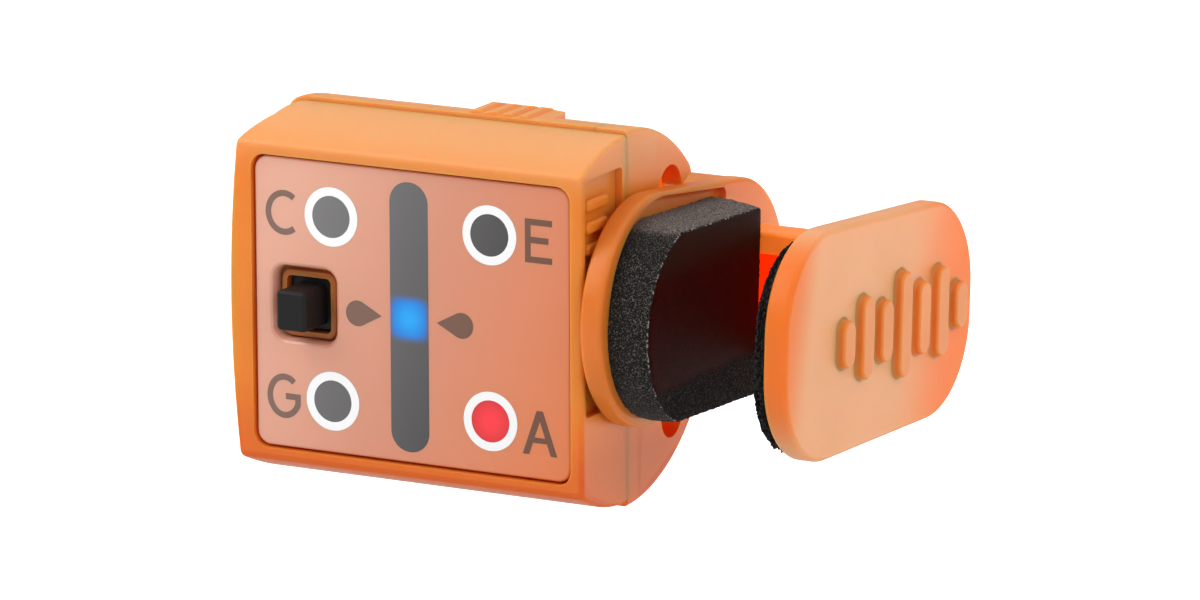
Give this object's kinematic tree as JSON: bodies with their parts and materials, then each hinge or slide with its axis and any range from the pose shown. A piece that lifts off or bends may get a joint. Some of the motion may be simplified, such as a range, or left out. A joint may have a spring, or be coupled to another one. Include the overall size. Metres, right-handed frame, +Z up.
{
  "type": "clip on tuner",
  "caption": "Clip-on instrument tuner: translucent housing with a light display that tilts on a drum, and a sprung sliding jaw that grips a headstock.",
  "frame": {"origin": "centre of the fixed pad's gripping face", "axes": "+X out of the fixed pad towards the sliding jaw, +Y away from the display side, +Z up along the display"},
  "size_m": [0.0433, 0.0285, 0.0264],
  "materials": {
    "case": "satin translucent",
    "lens": "frosted translucent",
    "light_guide": "diffusing",
    "button": "matt",
    "switch": "satin",
    "board": "solder mask",
    "led": "clear",
    "chip": "moulded",
    "plated_metal": "nickel plated",
    "ceramic": "sintered",
    "contact": "satin",
    "lead": "insulated",
    "steel": "bright",
    "foam": "fine open foam"
  },
  "bodies": {
    "clip": {"fixed_jaw": "case", "fixed_pad": "foam", "sleeve_end_cap": "case", "end_cap_screws": "steel", "clip_spring": "steel"},
    "tuner": {"front_case": "case", "rear_case": "case", "case_screws": "steel", "display_lens": "lens", "light_guide": "light_guide", "power_switch": "switch", "circuit_board": "board", "string_leds": "led", "meter_leds": "led", "tuner_chip": "chip", "clock_crystal": "plated_metal", "chip_capacitors": "ceramic", "coin_cell": "plated_metal", "battery_contact_negative": "contact", "battery_contact_positive": "contact", "piezo_sensor": "contact", "piezo_leads": "lead", "tilt_retainers": "steel", "retainer_screws": "steel"},
    "jaw": {"sliding_jaw": "case", "moving_pad": "foam", "spring_follower": "case", "follower_screw": "steel"},
    "button": {"power_button": "button"},
    "door": {"battery_door": "case"}
  },
  "joints": [
    {"name": "jaw_slide", "type": "slide", "parent": "clip", "child": "jaw", "axis": [1, 0, 0], "range_m": [0, 0.012], "stiffness_N_per_m": 120, "springref_m": -0.02, "deforming": ["clip_spring"]},
    {"name": "display_tilt", "type": "hinge", "parent": "clip", "child": "tuner", "pos_m": [0, 0.01058, -0.00065], "axis": [1, 0, 0], "range_deg": [-20, 20]},
    {"name": "button_press", "type": "slide", "parent": "tuner", "child": "button", "axis": [0, 1, 0], "range_m": [0, 0.0003], "stiffness_N_per_m": 1500, "springref_m": -0.0002},
    {"name": "door_slide", "type": "slide", "parent": "tuner", "child": "door", "axis": [-1, 0, 0], "range_m": [0, 0.0245]}
  ]
}
